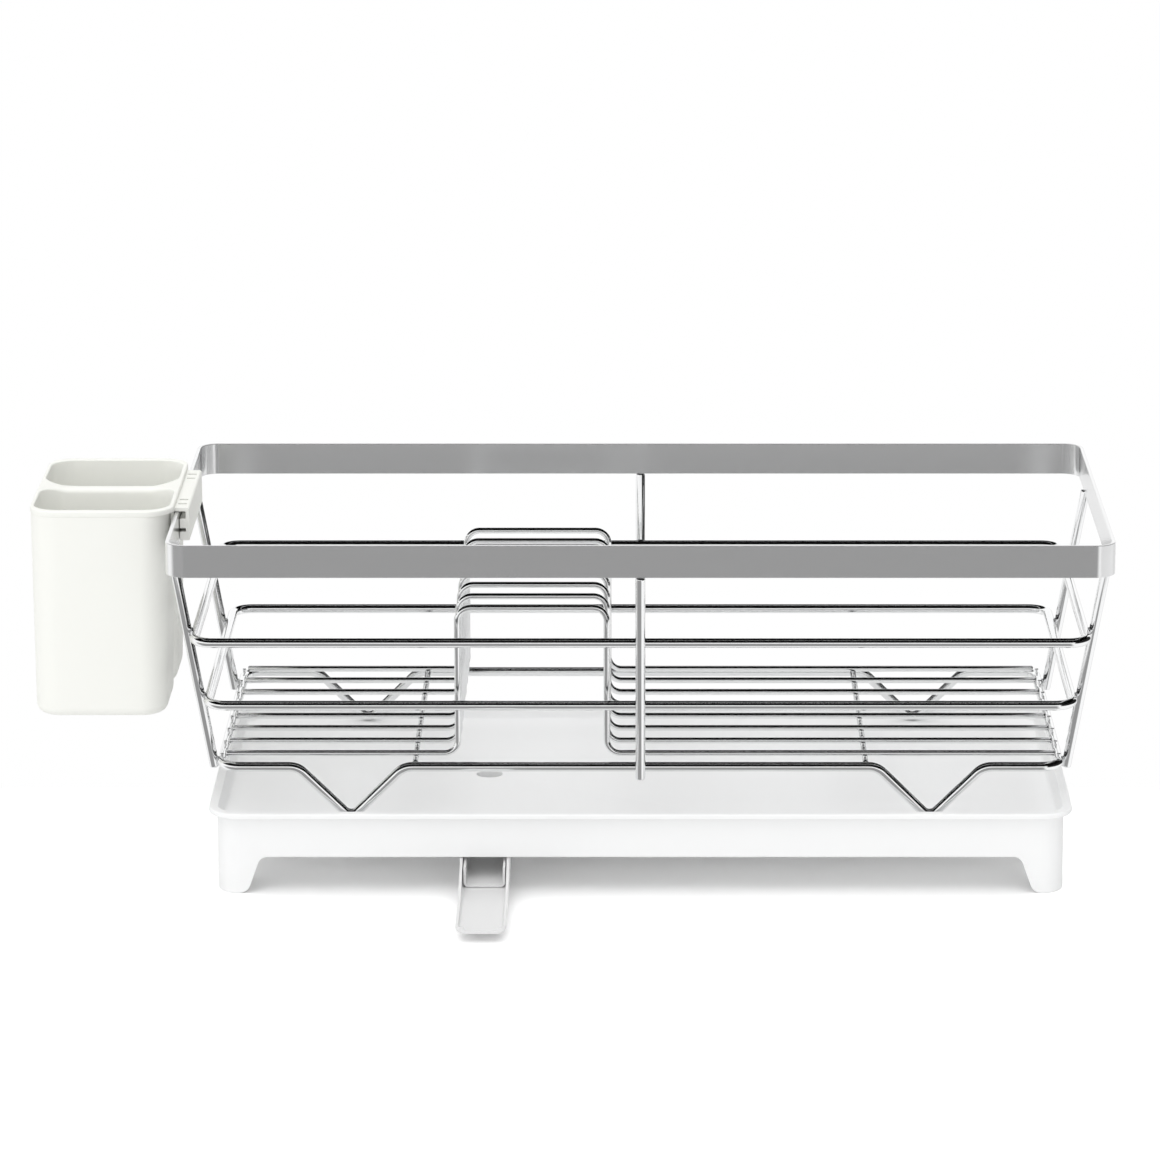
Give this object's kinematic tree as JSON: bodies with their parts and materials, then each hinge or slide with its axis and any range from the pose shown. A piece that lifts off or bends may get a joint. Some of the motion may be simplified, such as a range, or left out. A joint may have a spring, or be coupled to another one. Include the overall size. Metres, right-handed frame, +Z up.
{
  "type": "dish drainer",
  "caption": "Long wire dish drainer with a flat steel rim and plate arches, standing in a drip tray with a swivelling, sliding drain spout, and a utensil caddy hooked over one end.",
  "frame": {"origin": "on the table, under the middle of the whole object's box", "axes": "+X along the long side to the right, away from the caddy; +Y from the spout side to the back; +Z up"},
  "size_m": [0.5558, 0.2886, 0.193],
  "materials": {
    "brushed_steel": "satin steel, fine grain along the band",
    "polished_wire": "mirror-polished steel wire",
    "tray_plastic": "white moulded plastic, satin",
    "caddy_plastic": "warm white moulded plastic, satin"
  },
  "bodies": {
    "tray": {"drip_tray": "tray_plastic"},
    "rack": {"rim_band": "brushed_steel", "base_ring": "polished_wire", "lower_ring": "polished_wire", "upper_ring": "polished_wire", "rod_left_front": "polished_wire", "rod_left_rear": "polished_wire", "rod_right_front": "polished_wire", "rod_right_rear": "polished_wire", "rod_middle_front": "polished_wire", "rod_middle_rear": "polished_wire", "floor_wire_1": "polished_wire", "floor_wire_2": "polished_wire", "floor_wire_3": "polished_wire", "floor_wire_4": "polished_wire", "floor_wire_5": "polished_wire", "floor_wire_6": "polished_wire", "floor_wire_7": "polished_wire", "floor_wire_8": "polished_wire", "cross_wire_left": "polished_wire", "cross_wire_right": "polished_wire"},
    "caddy": {"utensil_caddy": "caddy_plastic", "caddy_hook": "caddy_plastic"},
    "channel": {"swivel_channel": "tray_plastic"},
    "trough": {"spout_trough": "tray_plastic"}
  },
  "joints": [
    {"name": "rack_lift", "type": "slide", "parent": "tray", "child": "rack", "axis": [0, 0, 1], "range_m": [0, 0.12]},
    {"name": "caddy_lift", "type": "slide", "parent": "rack", "child": "caddy", "axis": [0, 0, 1], "range_m": [0, 0.05]},
    {"name": "spout_swivel", "type": "hinge", "parent": "tray", "child": "channel", "pos_m": [-0.0436, 0.03175, 0.012], "axis": [0, 0, 1], "range_deg": [-40, 180]},
    {"name": "spout_slide", "type": "slide", "parent": "channel", "child": "trough", "axis": [0, 1, 0], "range_m": [0, 0.055]}
  ]
}
